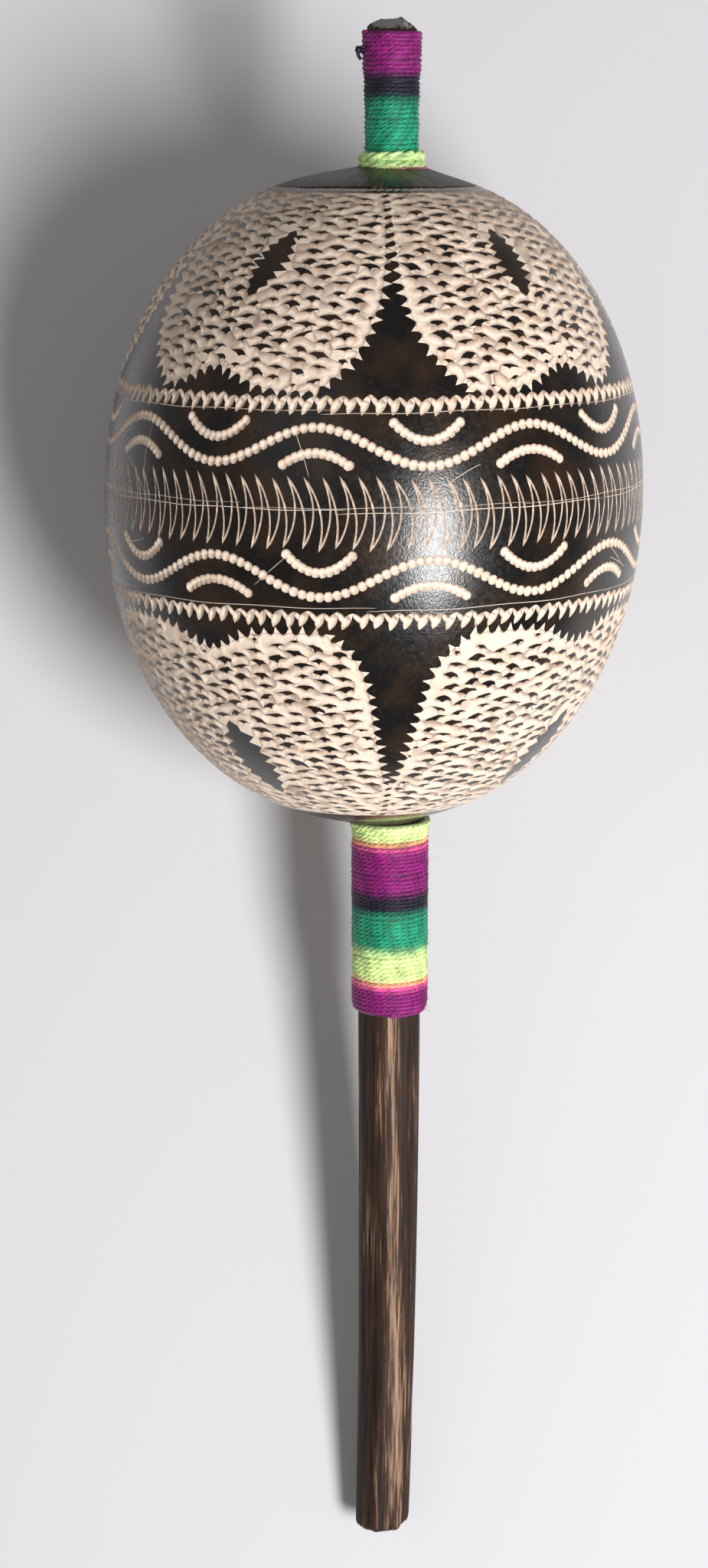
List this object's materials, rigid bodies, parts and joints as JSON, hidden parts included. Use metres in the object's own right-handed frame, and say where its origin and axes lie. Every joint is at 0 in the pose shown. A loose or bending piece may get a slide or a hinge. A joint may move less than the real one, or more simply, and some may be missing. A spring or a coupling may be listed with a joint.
{
  "type": "maraca",
  "caption": "Maraca: a carved dried gourd with loose seeds shut inside, on a thread-bound wooden stick that runs right through it.",
  "frame": {"origin": "the flat butt end of the handle, on the axis of the stick's straight part", "axes": "+Z along the stick from the butt to the tip, +X to the right of the side that the picture shows, the camera's side is -Y"},
  "size_m": [0.119, 0.119, 0.35],
  "materials": {
    "carved_gourd": "black burnished gourd skin, semi-gloss, carved through to cream flesh",
    "palm_stick": "dark fibrous palm wood, worn bare, with tan streaks",
    "dyed_thread": "two-ply thread, space-dyed purple, navy, green and lime, matte",
    "resin": "dark plant resin, set hard, glossy",
    "seed": "hard round seeds, dark brown, smooth"
  },
  "bodies": {
    "root": {"gourd_shell": "carved_gourd", "stick": "palm_stick", "lower_binding": "dyed_thread", "upper_binding": "dyed_thread", "lower_seal": "resin", "upper_seal": "resin"},
    "seed_01": {"seed_01": "seed"},
    "seed_02": {"seed_02": "seed"},
    "seed_03": {"seed_03": "seed"},
    "seed_04": {"seed_04": "seed"},
    "seed_05": {"seed_05": "seed"},
    "seed_06": {"seed_06": "seed"},
    "seed_07": {"seed_07": "seed"},
    "seed_08": {"seed_08": "seed"},
    "seed_09": {"seed_09": "seed"},
    "seed_10": {"seed_10": "seed"},
    "seed_11": {"seed_11": "seed"},
    "seed_12": {"seed_12": "seed"},
    "seed_13": {"seed_13": "seed"},
    "seed_14": {"seed_14": "seed"},
    "seed_15": {"seed_15": "seed"},
    "seed_16": {"seed_16": "seed"},
    "seed_17": {"seed_17": "seed"},
    "seed_18": {"seed_18": "seed"},
    "seed_19": {"seed_19": "seed"},
    "seed_20": {"seed_20": "seed"},
    "seed_21": {"seed_21": "seed"},
    "seed_22": {"seed_22": "seed"},
    "seed_23": {"seed_23": "seed"},
    "seed_24": {"seed_24": "seed"},
    "seed_25": {"seed_25": "seed"},
    "seed_26": {"seed_26": "seed"},
    "seed_27": {"seed_27": "seed"},
    "seed_28": {"seed_28": "seed"},
    "seed_29": {"seed_29": "seed"},
    "seed_30": {"seed_30": "seed"},
    "seed_31": {"seed_31": "seed"},
    "seed_32": {"seed_32": "seed"},
    "seed_33": {"seed_33": "seed"},
    "seed_34": {"seed_34": "seed"},
    "seed_35": {"seed_35": "seed"},
    "seed_36": {"seed_36": "seed"}
  },
  "joints": [
    {"name": "seed_swirl", "type": "hinge", "parent": "root", "child": "seed_01", "pos_m": [-0.0039, 0, 0.19], "axis": [0, 0, 1], "continuous": true},
    {"name": "seed_02_leap", "type": "slide", "parent": "seed_01", "child": "seed_02", "axis": [0, 0, 1], "range_m": [0, 0.1283]},
    {"name": "seed_03_leap", "type": "slide", "parent": "seed_01", "child": "seed_03", "axis": [0, 0, 1], "range_m": [0, 0.1283]},
    {"name": "seed_04_leap", "type": "slide", "parent": "seed_01", "child": "seed_04", "axis": [0, 0, 1], "range_m": [0, 0.1283]},
    {"name": "seed_05_leap", "type": "slide", "parent": "seed_01", "child": "seed_05", "axis": [0, 0, 1], "range_m": [0, 0.1283]},
    {"name": "seed_06_leap", "type": "slide", "parent": "seed_01", "child": "seed_06", "axis": [0, 0, 1], "range_m": [0, 0.1283]},
    {"name": "seed_07_leap", "type": "slide", "parent": "seed_01", "child": "seed_07", "axis": [0, 0, 1], "range_m": [0, 0.1283]},
    {"name": "seed_08_leap", "type": "slide", "parent": "seed_01", "child": "seed_08", "axis": [0, 0, 1], "range_m": [0, 0.1283]},
    {"name": "seed_09_leap", "type": "slide", "parent": "seed_01", "child": "seed_09", "axis": [0, 0, 1], "range_m": [0, 0.1283]},
    {"name": "seed_10_leap", "type": "slide", "parent": "seed_01", "child": "seed_10", "axis": [0, 0, 1], "range_m": [0, 0.1232]},
    {"name": "seed_11_leap", "type": "slide", "parent": "seed_01", "child": "seed_11", "axis": [0, 0, 1], "range_m": [0, 0.1232]},
    {"name": "seed_12_leap", "type": "slide", "parent": "seed_01", "child": "seed_12", "axis": [0, 0, 1], "range_m": [0, 0.1232]},
    {"name": "seed_13_leap", "type": "slide", "parent": "seed_01", "child": "seed_13", "axis": [0, 0, 1], "range_m": [0, 0.1232]},
    {"name": "seed_14_leap", "type": "slide", "parent": "seed_01", "child": "seed_14", "axis": [0, 0, 1], "range_m": [0, 0.1232]},
    {"name": "seed_15_leap", "type": "slide", "parent": "seed_01", "child": "seed_15", "axis": [0, 0, 1], "range_m": [0, 0.1232]},
    {"name": "seed_16_leap", "type": "slide", "parent": "seed_01", "child": "seed_16", "axis": [0, 0, 1], "range_m": [0, 0.1232]},
    {"name": "seed_17_leap", "type": "slide", "parent": "seed_01", "child": "seed_17", "axis": [0, 0, 1], "range_m": [0, 0.1232]},
    {"name": "seed_18_leap", "type": "slide", "parent": "seed_01", "child": "seed_18", "axis": [0, 0, 1], "range_m": [0, 0.1232]},
    {"name": "seed_19_leap", "type": "slide", "parent": "seed_01", "child": "seed_19", "axis": [0, 0, 1], "range_m": [0, 0.1232]},
    {"name": "seed_20_leap", "type": "slide", "parent": "seed_01", "child": "seed_20", "axis": [0, 0, 1], "range_m": [0, 0.1232]},
    {"name": "seed_21_leap", "type": "slide", "parent": "seed_01", "child": "seed_21", "axis": [0, 0, 1], "range_m": [0, 0.1232]},
    {"name": "seed_22_leap", "type": "slide", "parent": "seed_01", "child": "seed_22", "axis": [0, 0, 1], "range_m": [0, 0.1154]},
    {"name": "seed_23_leap", "type": "slide", "parent": "seed_01", "child": "seed_23", "axis": [0, 0, 1], "range_m": [0, 0.1154]},
    {"name": "seed_24_leap", "type": "slide", "parent": "seed_01", "child": "seed_24", "axis": [0, 0, 1], "range_m": [0, 0.1154]},
    {"name": "seed_25_leap", "type": "slide", "parent": "seed_01", "child": "seed_25", "axis": [0, 0, 1], "range_m": [0, 0.1154]},
    {"name": "seed_26_leap", "type": "slide", "parent": "seed_01", "child": "seed_26", "axis": [0, 0, 1], "range_m": [0, 0.1154]},
    {"name": "seed_27_leap", "type": "slide", "parent": "seed_01", "child": "seed_27", "axis": [0, 0, 1], "range_m": [0, 0.1154]},
    {"name": "seed_28_leap", "type": "slide", "parent": "seed_01", "child": "seed_28", "axis": [0, 0, 1], "range_m": [0, 0.1154]},
    {"name": "seed_29_leap", "type": "slide", "parent": "seed_01", "child": "seed_29", "axis": [0, 0, 1], "range_m": [0, 0.1154]},
    {"name": "seed_30_leap", "type": "slide", "parent": "seed_01", "child": "seed_30", "axis": [0, 0, 1], "range_m": [0, 0.1154]},
    {"name": "seed_31_leap", "type": "slide", "parent": "seed_01", "child": "seed_31", "axis": [0, 0, 1], "range_m": [0, 0.1154]},
    {"name": "seed_32_leap", "type": "slide", "parent": "seed_01", "child": "seed_32", "axis": [0, 0, 1], "range_m": [0, 0.1154]},
    {"name": "seed_33_leap", "type": "slide", "parent": "seed_01", "child": "seed_33", "axis": [0, 0, 1], "range_m": [0, 0.1154]},
    {"name": "seed_34_leap", "type": "slide", "parent": "seed_01", "child": "seed_34", "axis": [0, 0, 1], "range_m": [0, 0.1154]},
    {"name": "seed_35_leap", "type": "slide", "parent": "seed_01", "child": "seed_35", "axis": [0, 0, 1], "range_m": [0, 0.1154]},
    {"name": "seed_36_leap", "type": "slide", "parent": "seed_01", "child": "seed_36", "axis": [0, 0, 1], "range_m": [0, 0.1154]}
  ]
}
